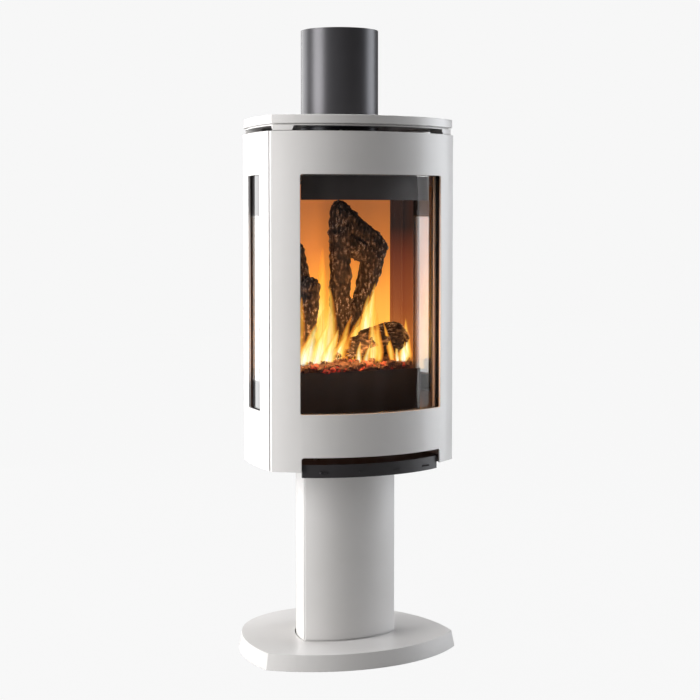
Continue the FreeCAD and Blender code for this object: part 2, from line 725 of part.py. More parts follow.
def shutter_rails():
    """Two channels under the firebox floor that carry the shutter."""
    rails = []
    for y_in, y_out in ((-62.3, -66.3), (-25.7, -21.7)):
        low, high = sorted((y_in, y_out))
        inner = y_in + math.copysign(3.0, y_in - y_out)
        web = box((-85, 85), (low, high), (510.0, FIREBOX[0]))
        lip = box((-85, 85), tuple(sorted((y_out, inner))), (510.0, 513.3))
        rails.append(fuse([web, lip]))
    return group(rails)


def flue_collar():
    """Flanged spigot on the firebox roof that locates both pipes."""
    flange = rod(FLUE_R + 8, (0, 0, FIREBOX[1]), 3)
    spigot = rod(FLUE_R - FLUE_WALL - 0.2, (0, 0, FIREBOX[1] + 3), 32)
    collar = fuse([flange, spigot]).cut(rod(FLUE_R - FLUE_WALL - 2.2, (0, 0, FIREBOX[1] + 3), 40))
    return collar.cut(rod(INNER_FLUE_R - 3, (0, 0, FIREBOX[1] - 1), 10))


def pipe(radius, wall, low):
    height = FLUE_TOP - low
    return rod(radius, (0, 0, low), height).cut(rod(radius - wall, (0, 0, low - 1), height + 2))


def flue_spacer():
    """Three-armed ring that centres the inner pipe near the top."""
    z = FLUE_TOP - 60
    collar = rod(INNER_FLUE_R + 2.2, (0, 0, z), 12)
    arms = [collar]
    for step in range(3):
        arm = box((INNER_FLUE_R + 1, FLUE_R - FLUE_WALL - 0.2), (-2, 2), (z, z + 12))
        arm.rotate(V(0, 0, 0), UP, 120 * step + 30)
        arms.append(arm)
    return fuse(arms).cut(rod(INNER_FLUE_R + 0.2, (0, 0, z - 1), 14))


def parts():
    left_glass = side_glass()
    left_gasket = side_gasket()
    return {
        "base_plate": base_plate(),
        "ballast_plate": ballast_plate(),
        "levelling_feet": levelling_feet(),
        "pedestal_flanges": pedestal_flanges(),
        "pedestal_shell": pedestal_shell(),
        "flange_bolts": flange_bolts(),
        "pedestal_door": pedestal_door(),
        "pedestal_hinge_pins": pedestal_hinge_pins(),
        "pedestal_hinge_brackets": pedestal_hinge_brackets(),
        "magnet_catches": group([pedestal_magnet(), door_magnet()]),
        "pedestal_striker": pedestal_striker(),
        "gas_valve": gas_valve(),
        "gas_knob": knob(-KNOB_X, 19),
        "flame_knob": knob(KNOB_X, 19),
        "igniter_button": igniter_button(),
        "shutoff_tap": shutoff_tap(),
        "shutoff_lever": shutoff_lever(),
        "gas_pipes": gas_pipes(),
        "bottom_plate": bottom_plate(),
        "top_frame": top_frame(),
        "top_frame_screws": top_frame_screws(),
        "left_side_panel": side_panel("left"),
        "right_side_panel": side_panel("right"),
        "rear_panel": rear_panel(),
        "front_door": front_door(),
        "door_hinge_pins": door_hinge_pins(),
        "door_hinge_brackets": door_hinge_brackets(),
        "door_striker": door_striker(),
        "ash_lip": ash_lip(),
        "top_spacer": top_spacer(),
        "top_plate": top_plate(),
        "front_glass": front_glass(),
        "glass_frame": glass_frame(),
        "glass_gasket": glass_gasket(),
        "latch_lower_left": glass_latch(-LATCH_X, LATCH_Z[0]),
        "latch_upper_left": glass_latch(-LATCH_X, LATCH_Z[1]),
        "latch_lower_right": glass_latch(LATCH_X, LATCH_Z[0]),
        "latch_upper_right": glass_latch(LATCH_X, LATCH_Z[1]),
        "left_side_glass": left_glass,
        "right_side_glass": mirror_x(left_glass),
        "side_gaskets": group([left_gasket, mirror_x(left_gasket)]),
        "firebox_flange": firebox_flange(),
        "firebox_shell": firebox_shell(),
        "back_liner": back_liner(),
        "liner_strips": liner_strips(),
        "top_shield": top_shield(),
        "baffle": baffle(),
        "burner_skirt": burner_skirt(),
        "burner_tray": burner_tray(),
        "ember_bed": ember_bed(),
        "pilot": pilot(),
        "log_left": log(LOG_LEFT),
        "log_centre": log(LOG_CENTRE),
        "log_right": log(LOG_RIGHT),
        "air_shutter": air_shutter(),
        "shutter_rails": shutter_rails(),
        "flue_collar": flue_collar(),
        "outer_flue_pipe": pipe(FLUE_R, FLUE_WALL, FLUE_START),
        "inner_flue_pipe": pipe(INNER_FLUE_R, 1.0, FLUE_START),
        "flue_spacer": flue_spacer(),
    }


def main():
    os.makedirs("parts", exist_ok=True)
    for name, shape in parts().items():
        shape.translate(V(0, -BASE_CENTRE_Y, 0))
        shape.exportStep(os.path.join("parts", name + ".step"))


main()
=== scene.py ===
"""Looks of the pedestal gas stove: materials, log fire, flames, rope seal, floor, light and camera."""

import json
import math
import random

import bmesh
import bpy
from mathutils import Matrix, Vector, noise


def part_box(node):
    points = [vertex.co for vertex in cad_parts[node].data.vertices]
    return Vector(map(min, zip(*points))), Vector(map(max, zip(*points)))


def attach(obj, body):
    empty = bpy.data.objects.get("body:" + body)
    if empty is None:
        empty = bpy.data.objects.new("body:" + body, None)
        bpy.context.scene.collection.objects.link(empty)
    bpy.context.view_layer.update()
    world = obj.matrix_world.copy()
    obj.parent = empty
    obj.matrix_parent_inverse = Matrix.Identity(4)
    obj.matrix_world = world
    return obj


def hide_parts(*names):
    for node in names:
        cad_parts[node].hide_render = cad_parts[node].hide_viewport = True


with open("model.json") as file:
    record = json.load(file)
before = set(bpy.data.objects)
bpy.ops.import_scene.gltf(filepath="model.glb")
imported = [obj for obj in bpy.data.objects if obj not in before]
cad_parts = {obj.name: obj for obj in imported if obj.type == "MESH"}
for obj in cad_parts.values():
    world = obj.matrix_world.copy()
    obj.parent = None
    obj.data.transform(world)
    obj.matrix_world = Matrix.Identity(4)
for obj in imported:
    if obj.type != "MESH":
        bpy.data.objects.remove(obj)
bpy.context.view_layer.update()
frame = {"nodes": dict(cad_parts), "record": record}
NODES = frame["nodes"]
SLOT_OF = {s["node"]: s["material_slot"] for s in frame["record"]["subparts"]}
RNG = random.Random(41)


# ------------------------------------------------------------------ node helpers

def new_material(name):
    """Material with one Principled shader; returns (material, node tree, shader)."""
    material = bpy.data.materials.new(name)
    material.use_nodes = True
    tree = material.node_tree
    return material, tree, tree.nodes["Principled BSDF"]


def set_inputs(node, values):
    for key, value in values.items():
        node.inputs[key].default_value = value


def add(tree, kind, values=None, **settings):
    """New node with attributes from settings and inputs from values."""
    node = tree.nodes.new(kind)
    for key, value in settings.items():
        setattr(node, key, value)
    set_inputs(node, values or {})
    return node


def rest_coordinates(tree, scale=(1.0, 1.0, 1.0)):
    """Object coordinates in metres, stretched by scale."""
    coords = add(tree, "ShaderNodeTexCoord")
    mapping = add(tree, "ShaderNodeMapping", {"Scale": scale})
    tree.links.new(coords.outputs["Object"], mapping.inputs["Vector"])
    return mapping.outputs["Vector"]


def rest_axes(tree):
    """Outputs X, Y and Z of the object coordinates."""
    coords = add(tree, "ShaderNodeTexCoord")
    split = add(tree, "ShaderNodeSeparateXYZ")
    tree.links.new(coords.outputs["Object"], split.inputs[0])
    return split.outputs


def attribute(tree, name):
    """Number stored on the mesh's points under name."""
    return add(tree, "ShaderNodeAttribute", attribute_name=name, attribute_type="GEOMETRY").outputs["Fac"]


def noise_texture(tree, vector, scale, detail=4.0, roughness=0.55):
    node = add(tree, "ShaderNodeTexNoise", {"Scale": scale, "Detail": detail, "Roughness": roughness})
    tree.links.new(vector, node.inputs["Vector"])
    return node.outputs["Fac"]


def ramp(tree, factor, stops):
    """Colour ramp through (position, colour) stops."""
    node = add(tree, "ShaderNodeValToRGB")
    elements = node.color_ramp.elements
    while len(elements) < len(stops):
        elements.new(0.5)
    for element, (position, colour) in zip(elements, stops):
        element.position = position
        element.color = (*colour, 1.0)
    tree.links.new(factor, node.inputs["Fac"])
    return node.outputs["Color"]


def tint(tree, factor, dark, light):
    """Slow change between two colours."""
    return ramp(tree, factor, [(0.3, dark), (0.7, light)])


def rescale(tree, value, low, high, to_low=0.0, to_high=1.0):
    """Value from low..high mapped to to_low..to_high, and held there outside it."""
    node = add(tree, "ShaderNodeMapRange", {"From Min": low, "From Max": high, "To Min": to_low,
                                            "To Max": to_high})
    tree.links.new(value, node.inputs["Value"])
    return node.outputs["Result"]


def maths(tree, operation, *terms):
    node = add(tree, "ShaderNodeMath", operation=operation)
    for index, term in enumerate(terms):
        if hasattr(term, "is_output"):
            tree.links.new(term, node.inputs[index])
        else:
            node.inputs[index].default_value = term
    return node.outputs[0]


def waver(tree, value, drift, amount):
    """Value moved up and down by amount times the drift, which lies about its middle of one half."""
    return maths(tree, "MULTIPLY_ADD", drift, amount, maths(tree, "SUBTRACT", value, amount / 2))


def bump(tree, shader, height, strength, distance, edge_radius=0.0):
    """Relief from height, over edges that are softened to edge_radius."""
    node = add(tree, "ShaderNodeBump", {"Strength": strength, "Distance": distance})
    if edge_radius:
        rounded = add(tree, "ShaderNodeBevel", {"Radius": edge_radius}, samples=4)
        tree.links.new(rounded.outputs[0], node.inputs["Normal"])
    tree.links.new(height, node.inputs["Height"])
    tree.links.new(node.outputs["Normal"], shader.inputs["Normal"])


def by_ray(tree, seen, felt):
    """Shader that the camera sees as one thing, and all other rays as another."""
    path = add(tree, "ShaderNodeLightPath")
    pick = add(tree, "ShaderNodeMixShader")
    tree.links.new(path.outputs["Is Camera Ray"], pick.inputs[0])
    tree.links.new(felt.outputs[0], pick.inputs[1])
    tree.links.new(seen.outputs[0], pick.inputs[2])
    return pick.outputs[0]


# ------------------------------------------------------------------ materials of the CAD nodes

WHITE = ((0.735, 0.72, 0.705), (0.765, 0.75, 0.74))
BLACK = ((0.027, 0.022, 0.023), (0.038, 0.031, 0.032))
ROUGHNESS_SPREAD = 0.05


def speckled(name, dark, light, roughness, grain, relief, depth, metallic=0.0, blotch=6.0, coat=0.0,
             edge_radius=0.0008):
    """Painted or plated metal: slow colour drift, fine grain in roughness and relief."""
    material, tree, shader = new_material(name)
    vector = rest_coordinates(tree)
    drift = noise_texture(tree, vector, blotch, detail=3.0)
    fine = noise_texture(tree, vector, grain, detail=3.0, roughness=0.6)
    tree.links.new(tint(tree, drift, dark, light), shader.inputs["Base Color"])
    spread = rescale(tree, fine, 0.0, 1.0, roughness - ROUGHNESS_SPREAD, roughness + ROUGHNESS_SPREAD)
    tree.links.new(spread, shader.inputs["Roughness"])
    bump(tree, shader, fine, relief, depth, edge_radius)
    set_inputs(shader, {"Metallic": metallic, "Coat Weight": coat})
    return material


# What speckled needs for each slot with a plain finish
FINISHES = {
    "painted_steel": dict(name="white_satin_paint", dark=WHITE[0], light=WHITE[1], roughness=0.36,
                          grain=700.0, relief=0.22, depth=0.0005, coat=0.12, edge_radius=0.0015),
    "painted_iron": dict(name="white_iron_paint", dark=WHITE[0], light=WHITE[1], roughness=0.30, grain=420.0,
                         relief=0.30, depth=0.0007, coat=0.2, edge_radius=0.0022),
    "charcoal_iron": dict(name="charcoal_satin", dark=(0.020, 0.018, 0.020), light=(0.032, 0.029, 0.032),
                          roughness=0.46, grain=500.0, relief=0.3, depth=0.0005),
    "black_steel": dict(name="heatproof_black", dark=BLACK[0], light=BLACK[1], roughness=0.55, grain=600.0,
                        relief=0.25, depth=0.0004),
    "bare_steel": dict(name="mill_steel", dark=(0.22, 0.21, 0.2), light=(0.34, 0.33, 0.32), roughness=0.5,
                       grain=300.0, relief=0.3, depth=0.0005, metallic=0.9),
    "zinc_steel": dict(name="zinc_plate", dark=(0.42, 0.42, 0.40), light=(0.60, 0.60, 0.57), roughness=0.36,
                       grain=500.0, relief=0.15, depth=0.0003, metallic=0.95, blotch=60.0),
    "aluminium_casting": dict(name="die_cast_aluminium", dark=(0.42, 0.42, 0.42), light=(0.56, 0.56, 0.56),
                              roughness=0.48, grain=350.0, relief=0.35, depth=0.0006, metallic=0.9,
                              blotch=40.0),
    "brass": dict(name="machined_brass", dark=(0.50, 0.33, 0.12), light=(0.68, 0.48, 0.20), roughness=0.3,
                  grain=500.0, relief=0.15, depth=0.0003, metallic=1.0, blotch=60.0),
    "black_plastic": dict(name="matt_black_plastic", dark=(0.016, 0.016, 0.017), light=(0.026, 0.026, 0.027),
                          roughness=0.6, grain=900.0, relief=0.3, depth=0.0003, blotch=60.0),
    "red_lever": dict(name="dipped_red_grip", dark=(0.36, 0.02, 0.015), light=(0.46, 0.035, 0.022),
                      roughness=0.42, grain=300.0, relief=0.2, depth=0.0004, blotch=60.0),
    "embers": dict(name="ember_base", dark=(0.03, 0.012, 0.010), light=(0.07, 0.03, 0.022), roughness=0.85,
                   grain=200.0, relief=0.8, depth=0.003),
    "log_ceramic": dict(name="log_base", dark=(0.02, 0.016, 0.014), light=(0.05, 0.04, 0.034), roughness=0.85,
                        grain=200.0, relief=0.8, depth=0.003),
    "graphite_flue": dict(name="graphite_enamel", dark=(0.066, 0.064, 0.070), light=(0.078, 0.076, 0.083),
                          roughness=0.33, grain=800.0, relief=0.12, depth=0.0003, metallic=0.45, blotch=5.0),
}


def rope_material():
    """Grey-brown glass-fibre yarn."""
    material, tree, shader = new_material("rope_yarn")
    fibres = noise_texture(tree, rest_coordinates(tree), 900.0, detail=3.0)
    tree.links.new(tint(tree, fibres, (0.26, 0.21, 0.18), (0.80, 0.68, 0.58)), shader.inputs["Base Color"])
    set_inputs(shader, {"Roughness": 0.9})
    bump(tree, shader, fibres, 0.5, 0.0006)
    return material


GLASS_IOR = 1.5
PRINT_FADE = 0.002
PRINT_TINT = (0.012, 0.011, 0.012)
MIRROR_TINT = (0.9, 0.88, 0.85)
SMEAR_HAZE = 0.03


def glass_material(name, clear, gloss_share, haze_share):
    """Ceramic glass with a printed black border; clear = (axis, low, high) limits of the clear area."""
    material, tree, shader = new_material(name)
    axes = rest_axes(tree)
    inside = None
    for axis, low, high in clear:
        for edge, fade in ((low, PRINT_FADE), (high, -PRINT_FADE)):
            step = rescale(tree, axes[axis], edge - fade, edge + fade)
            inside = step if inside is None else maths(tree, "MULTIPLY", inside, step)
    smear = noise_texture(tree, rest_coordinates(tree, (3.0, 3.0, 0.6)), 9.0, detail=3.0)
    haze = rescale(tree, smear, 0.45, 0.8, haze_share, haze_share + SMEAR_HAZE)
    fresnel = add(tree, "ShaderNodeFresnel", {"IOR": GLASS_IOR})
    geometry = add(tree, "ShaderNodeNewGeometry")
    facing = maths(tree, "SUBTRACT", 1.0, geometry.outputs["Backfacing"])
    mirror = maths(tree, "MULTIPLY", maths(tree, "MULTIPLY", fresnel.outputs[0], facing), gloss_share)
    alpha = add(tree, "ShaderNodeMix", data_type="FLOAT")
    alpha.inputs["A"].default_value = 1.0
    tree.links.new(inside, alpha.inputs["Factor"])
    tree.links.new(maths(tree, "ADD", mirror, haze), alpha.inputs["B"])
    tree.links.new(alpha.outputs["Result"], shader.inputs["Alpha"])
    tree.links.new(ramp(tree, inside, [(0.0, PRINT_TINT), (1.0, MIRROR_TINT)]), shader.inputs["Base Color"])
    tree.links.new(inside, shader.inputs["Metallic"])
    set_inputs(shader, {"Roughness": 0.06, "Specular IOR Level": 0.5 * max(gloss_share, 1.0)})
    return material


# Painted firelight on the liner: emission colours from low to high that stand in for the fire's light
LINER_PAINTED_FIRELIGHT = [(0.0, (1.0, 0.62, 0.10)), (0.28, (1.0, 0.52, 0.07)), (0.5, (0.95, 0.36, 0.045)),
              (0.75, (0.62, 0.19, 0.035)), (1.0, (0.40, 0.12, 0.03))]
LINER = ((0.42, 0.20, 0.08), (0.55, 0.28, 0.12))
# Painted firelight on the black shell: emission colours from low to high that stand in for the fire's light
# thrown back
SHELL_PAINTED_FIRELIGHT = [(0.0, (0.02, 0.008, 0.003)), (0.08, (0.62, 0.18, 0.03)), (0.45, (0.34, 0.075, 0.02)),
              (0.8, (0.16, 0.034, 0.016)), (1.0, (0.02, 0.012, 0.011))]


def firelit(name, low, high, glow_and_painted_firelight, tints, *, flatness, blotch, waviness, strength, roughness, grain, relief):
    """Surface with painted firelight: an emission that stands in for the fire's light on it and changes with
    height, from low to high, in wavering bands.
    """
    material, tree, shader = new_material(name)
    height = rescale(tree, rest_axes(tree)["Z"], low, high)
    patches = noise_texture(tree, rest_coordinates(tree, (1.0, 1.0, flatness)), blotch, detail=2.0)
    bands = waver(tree, height, patches, waviness)
    # Painted firelight: these emission colours stand in for the light the fire throws on the surface
    tree.links.new(ramp(tree, bands, glow_and_painted_firelight), shader.inputs["Emission Color"])
    tree.links.new(tint(tree, patches, *tints), shader.inputs["Base Color"])
    set_inputs(shader, {"Emission Strength": strength, "Roughness": roughness})
    bump(tree, shader, noise_texture(tree, rest_coordinates(tree), grain), relief, 0.0004)
    return material


def liner_material():
    """Plain liner with the fire's light painted on as emission: deep orange at the top, yellow at the flames.
    """
    low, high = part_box("back_liner")
    return firelit("lit_liner", low.z + 0.02, high.z - 0.05, LINER_PAINTED_FIRELIGHT, LINER, flatness=0.35, blotch=11.0,
                   waviness=0.22, strength=0.85, roughness=0.75, grain=400.0, relief=0.2)


def shell_material():
    """Heatproof black steel with a painted reflection of the fire's light, as emission, low down in the
    firebox.
    """
    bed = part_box("ember_bed")[1].z
    return firelit("black_steel_painted_firelight", bed - 0.02, bed + 0.30, SHELL_PAINTED_FIRELIGHT, BLACK, flatness=0.5, blotch=14.0,
                   waviness=0.12, strength=0.8, roughness=0.5, grain=600.0, relief=0.25)


# Widths of the black print along the edges of the glass
PRINTED_BORDER = 0.014
SIDE_BORDER_FRONT = 0.044
SIDE_BORDER_LOW = 0.076
SIDE_BORDER_HIGH = 0.10


def front_glass_material():
    low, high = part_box("front_glass")
    clear = [("X", low.x + PRINTED_BORDER, high.x - PRINTED_BORDER),
             ("Z", low.z + PRINTED_BORDER, high.z - PRINTED_BORDER)]
    return glass_material("front_ceramic_glass", clear, gloss_share=0.4, haze_share=0.0)


def side_glass_material():
    low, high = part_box("left_side_glass")
    clear = [("Y", low.y + SIDE_BORDER_FRONT, high.y - PRINTED_BORDER),
             ("Z", low.z + SIDE_BORDER_LOW, high.z - SIDE_BORDER_HIGH)]
    return glass_material("side_ceramic_glass", clear, gloss_share=1.9, haze_share=0.26)


def make_materials():
    """One procedural material for each slot in the record, and two more for SPECIAL_FINISH."""
    materials = {slot: speckled(**values) for slot, values in FINISHES.items()}
    materials["fire_glass"] = front_glass_material()
    materials["side_glass"] = side_glass_material()
    materials["rope_seal"] = rope_material()
    materials["lit_liner"] = liner_material()
    # Black shell with the fire's light painted on as emission
    materials["black_shell_painted_firelight"] = shell_material()
    return materials


# Nodes that look different from the rest of their slot; the firebox shell and the liner strips carry painted
# firelight
SPECIAL_FINISH = {"left_side_glass": "side_glass", "right_side_glass": "side_glass",
                  "firebox_shell": "black_shell_painted_firelight", "liner_strips": "black_shell_painted_firelight"}


def paint_cad_nodes(materials):
    for name, node in NODES.items():
        finish = SPECIAL_FINISH.get(name, SLOT_OF[name])
        node.data.materials.clear()
        node.data.materials.append(materials[finish])


MATERIALS = make_materials()
paint_cad_nodes(MATERIALS)


# ------------------------------------------------------------------ logs

# Tint of the bark at each height of its relief; ash lies in patches on the crests
BARK_TINTS = [(0.15, (0.006, 0.005, 0.005)), (0.42, (0.035, 0.022, 0.017)), (0.75, (0.15, 0.105, 0.08))]
ASH_TINT = (0.52, 0.47, 0.43)


def bark_material():
    """Charred bark coloured by its own relief: black cracks, brown scales, pale ash on the crests."""
    material, tree, shader = new_material("charred_bark")
    relief = attribute(tree, "relief")
    vector = rest_coordinates(tree)
    patches = noise_texture(tree, vector, 16.0, detail=2.0)
    crumbs = noise_texture(tree, vector, 420.0, detail=3.0)
    on_crests = maths(tree, "MULTIPLY", rescale(tree, relief, 0.40, 0.66), rescale(tree, patches, 0.40, 0.56))
    ash = maths(tree, "MULTIPLY", on_crests, rescale(tree, crumbs, 0.50, 0.60))
    blend = add(tree, "ShaderNodeMix", data_type="RGBA")
    tree.links.new(ash, blend.inputs["Factor"])
    tree.links.new(ramp(tree, relief, BARK_TINTS), blend.inputs["A"])
    blend.inputs["B"].default_value = (*ASH_TINT, 1.0)
    tree.links.new(blend.outputs["Result"], shader.inputs["Base Color"])
    set_inputs(shader, {"Roughness": 0.78})
    bump(tree, shader, crumbs, 0.6, 0.0012)
    return material


def new_object(name, data):
    """New object that is linked to the scene."""
    made = bpy.data.objects.new(name, data)
    bpy.context.collection.objects.link(made)
    return made


def mesh_object(name, points, polygons):
    mesh = bpy.data.meshes.new(name)
    mesh.from_pydata(points, [], polygons)
    return new_object(name, mesh)


def store(piece, name, values):
    """One number for each point of the piece, which a material reads by name."""
    piece.data.attributes.new(name, "FLOAT", "POINT").data.foreach_set("value", values)


SOFTEN_PASSES = 3


def even_cells(name, node, cell):
    """New object with a CAD node's shape cut into small even cells."""
    piece = new_object(name, NODES[node].data.copy())
    grid = piece.modifiers.new("even_cells", "REMESH")
    grid.mode = "VOXEL"
    grid.voxel_size = cell
    soften = piece.modifiers.new("soften", "SMOOTH")
    soften.iterations = SOFTEN_PASSES
    mesh = bpy.data.meshes.new_from_object(piece.evaluated_get(bpy.context.evaluated_depsgraph_get()))
    piece.modifiers.clear()
    piece.data = mesh
    mesh.materials.clear()
    return piece


def finish_piece(piece, material, slot, *nodes):
    """Material, body and replaced CAD nodes of a new piece; slot is not used."""
    piece.data.materials.append(material)
    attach(piece, "stove")
    if nodes:
        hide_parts(*nodes)


LOG_CELL = 0.0021
# Scales in a metre along X, Y and Z: they are long in the direction of the grain
UPRIGHT_GRAIN = (150.0, 150.0, 42.0)
LYING_GRAIN = (42.0, 150.0, 150.0)
LOG_GRAINS = {"log_left": UPRIGHT_GRAIN, "log_centre": UPRIGHT_GRAIN, "log_right": LYING_GRAIN}
BULGES_PER_METRE = 34
SMALL_BULGES_PER_METRE = 75
CRUMBS_PER_METRE = 150
SCALE_WARP = 1.1
CRACK_STEEPNESS = 2.4
BARK_SWELL = 0.0010
BULGE_DEPTH = 0.0046
SCALE_DEPTH = 0.0024
SCALE_MIDDLE = 0.6
FIBRE_DEPTH = 0.0022
CRUMB_DEPTH = 0.0012


def bark_layers(place, grain):
    """Slow bulge, scale (0 in a crack, 1 on its plateau), fibre and crumb of the bark at a place."""
    grained = place * Vector(grain)
    bulge = noise.noise(place * BULGES_PER_METRE) + 0.6 * noise.noise(place * SMALL_BULGES_PER_METRE)
    bent = grained + noise.noise_vector(grained * 0.4) * SCALE_WARP
    nearest = noise.voronoi(bent)[0]
    scale = min((nearest[1] - nearest[0]) * CRACK_STEEPNESS, 1.0)
    fibre = noise.fractal(grained * 1.7, 1.0, 2.1, 4)
    crumb = noise.fractal(place * CRUMBS_PER_METRE, 1.0, 2.1, 3)
    return bulge, scale, fibre, crumb


def carve_bark(piece, grain):
    """Charred bark: scales stretched along the grain with cracks between them, over slow bulges."""
    mesh = piece.data
    normals = [vertex.normal.copy() for vertex in mesh.vertices]
    heights = []
    for vertex, normal in zip(mesh.vertices, normals):
        bulge, scale, fibre, crumb = bark_layers(vertex.co, grain)
        vertex.co += normal * (BARK_SWELL + BULGE_DEPTH * bulge + SCALE_DEPTH * (scale - SCALE_MIDDLE)
                               + FIBRE_DEPTH * fibre + CRUMB_DEPTH * crumb)
        heights.append(0.30 * scale + 0.45 * (0.5 + fibre) + 0.30 * crumb + 0.08 * bulge)
    store(piece, "relief", heights)
    mesh.shade_smooth()


def make_logs():
    """Three charred ceramic logs on the firebox floor."""
    bark = bark_material()
    for node, grain in LOG_GRAINS.items():
        piece = even_cells("bark_" + node, node, LOG_CELL)
        carve_bark(piece, grain)
        finish_piece(piece, bark, "log_ceramic", node)


# ------------------------------------------------------------------ embers

EMBER_TINTS = [(0.3, (0.018, 0.010, 0.010)), (0.55, (0.09, 0.04, 0.032)), (0.75, (0.26, 0.15, 0.12))]
EMBER_GLOW = [(0.12, (0.0, 0.0, 0.0)), (0.35, (0.35, 0.012, 0.008)), (0.6, (1.0, 0.10, 0.02)),
              (0.9, (1.0, 0.42, 0.08))]


def ember_material():
    """Dark crumbled embers, some of them glowing red in patches."""
    material, tree, shader = new_material("ember_lumps")
    heat = attribute(tree, "ember_heat")
    vector = rest_coordinates(tree)
    patches = noise_texture(tree, vector, 130.0, detail=3.0)
    crumbs = noise_texture(tree, vector, 600.0, detail=3.0)
    tree.links.new(ramp(tree, crumbs, EMBER_TINTS), shader.inputs["Base Color"])
    glow_and_painted_firelight = maths(tree, "MULTIPLY", heat, maths(tree, "MULTIPLY_ADD", patches, 1.6, -0.35))
    tree.links.new(ramp(tree, glow_and_painted_firelight, EMBER_GLOW), shader.inputs["Emission Color"])
    set_inputs(shader, {"Emission Strength": 1.0, "Roughness": 0.7})
    bump(tree, shader, crumbs, 0.6, 0.001)
    return material


BED_CELL = 0.004
BED_ROUGHNESS = 0.003
LUMP_COUNT = 900
LUMP_SIZES = (0.0042, 0.0110)
LUMP_MARGIN = 0.004
FRONT_ROW_EVERY = 4
FRONT_ROW_SETBACK = 0.004
FRONT_ROW_RISE = (-0.007, 0.003)
BED_SETBACK = 0.010
BED_FRONT_R = 0.645
HEAP_BASE = 0.001
HEAP_HEIGHT = 0.006
HEAP_RISE = (-0.003, 0.010)
# Lumps: how wide and high next to their size, how far they lean in radians, and how rough they are
LUMP_WIDTH = (0.8, 1.4)
LUMP_HEIGHT = (0.6, 1.0)
LUMP_LEAN = (-0.6, 0.6)
LUMP_ROUGHNESS = 0.38
HOT_SHARE = 0.22
HOT = (0.55, 1.0)
COOL = (0.0, 0.25)


def make_ember_base(material):
    """Rough bed under the lumps."""
    bed_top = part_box("ember_bed")[1].z
    base = even_cells("ember_base", "ember_bed", BED_CELL)
    for vertex in base.data.vertices:
        if vertex.co.z > bed_top - BED_CELL:
            vertex.co.z += BED_ROUGHNESS * noise.noise(vertex.co * 90)
    base.data.attributes.new("ember_heat", "FLOAT", "POINT")
    finish_piece(base, material, "embers", "ember_bed")


def round_lump():
    """Corners and faces of a ball of radius 1."""
    mould = bmesh.new()
    bmesh.ops.create_icosphere(mould, subdivisions=2, radius=1.0)
    corners = [v.co.copy() for v in mould.verts]
    faces = [[v.index for v in f.verts] for f in mould.faces]
    mould.free()
    return corners, faces


def lump_centre(index, size):
    """Place of a lump: heaped on the bed or, for every fourth one, in a row on its front rim."""
    low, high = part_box("ember_bed")
    margin = size + LUMP_MARGIN
    x = RNG.uniform(low.x + margin, high.x - margin)
    y = RNG.uniform(low.y + margin, high.y - margin)
    rise = RNG.uniform(*HEAP_RISE)
    rim = low.y + x * x / (2 * BED_FRONT_R)
    if index % FRONT_ROW_EVERY == 0:
        return Vector((x, rim + FRONT_ROW_SETBACK, high.z + RNG.uniform(*FRONT_ROW_RISE)))
    y = max(y, rim + BED_SETBACK + size)
    heap = HEAP_BASE + HEAP_HEIGHT * noise.noise(Vector((x * 28, y * 28, 0.0)))
    return Vector((x, y, high.z + heap + rise))


def make_ember_lumps(material):
    """Crumbled lumps, a few of them hot."""
    corners, faces = round_lump()
    points, polygons, heats = [], [], []
    for index in range(LUMP_COUNT):
        size = RNG.uniform(*LUMP_SIZES)
        centre = lump_centre(index, size)
        sides = RNG.uniform(*LUMP_WIDTH), RNG.uniform(*LUMP_WIDTH), RNG.uniform(*LUMP_HEIGHT)
        stretch = Vector(sides) * size
        spin = Matrix.Rotation(RNG.uniform(0, math.tau), 3, "Z")
        tilt = Matrix.Rotation(RNG.uniform(*LUMP_LEAN), 3, "X")
        heat = RNG.uniform(*(HOT if RNG.random() < HOT_SHARE else COOL))
        seed = Vector((index * 3.1, index * 1.7, 0.0))
        offset = len(points)
        for corner in corners:
            bumpy = corner * (1.0 + LUMP_ROUGHNESS * noise.noise(corner * 1.6 + seed))
            points.append(centre + spin @ tilt @ (bumpy * stretch))
            heats.append(heat)
        polygons.extend([[offset + i for i in face] for face in faces])
    lumps = mesh_object("ember_lumps", points, polygons)
    store(lumps, "ember_heat", heats)
    finish_piece(lumps, material, "embers")


def make_embers():
    material = ember_material()
    make_ember_base(material)
    make_ember_lumps(material)


# ------------------------------------------------------------------ flames

GAS_COLOURS = [(0.0, (1.0, 0.16, 0.01)), (0.3, (1.0, 0.33, 0.03)), (0.52, (1.0, 0.56, 0.08)),
               (0.74, (1.0, 0.80, 0.28)), (0.92, (1.0, 0.98, 0.80))]
GAS_GLOW = 1.4


def flame_material():
    """Burning gas: white-yellow core, orange rim, fading to nothing at its edges."""
    material, tree, shader = new_material("burning_gas")
    streaks = noise_texture(tree, rest_coordinates(tree, (1.0, 1.0, 0.22)), 75.0, detail=3.0)
    wisp = rescale(tree, streaks, 0.34, 0.60, to_low=0.62)
    tree.links.new(maths(tree, "MULTIPLY", attribute(tree, "gas_cover"), wisp), shader.inputs["Alpha"])
    cooled = maths(tree, "SUBTRACT", attribute(tree, "gas_heat"), 0.17)
    warmth = maths(tree, "MULTIPLY_ADD", streaks, 0.35, cooled)
    tree.links.new(ramp(tree, warmth, GAS_COLOURS), shader.inputs["Emission Color"])
    set_inputs(shader, {"Base Color": (0, 0, 0, 1), "Specular IOR Level": 0.0, "Emission Strength": GAS_GLOW})
    return material


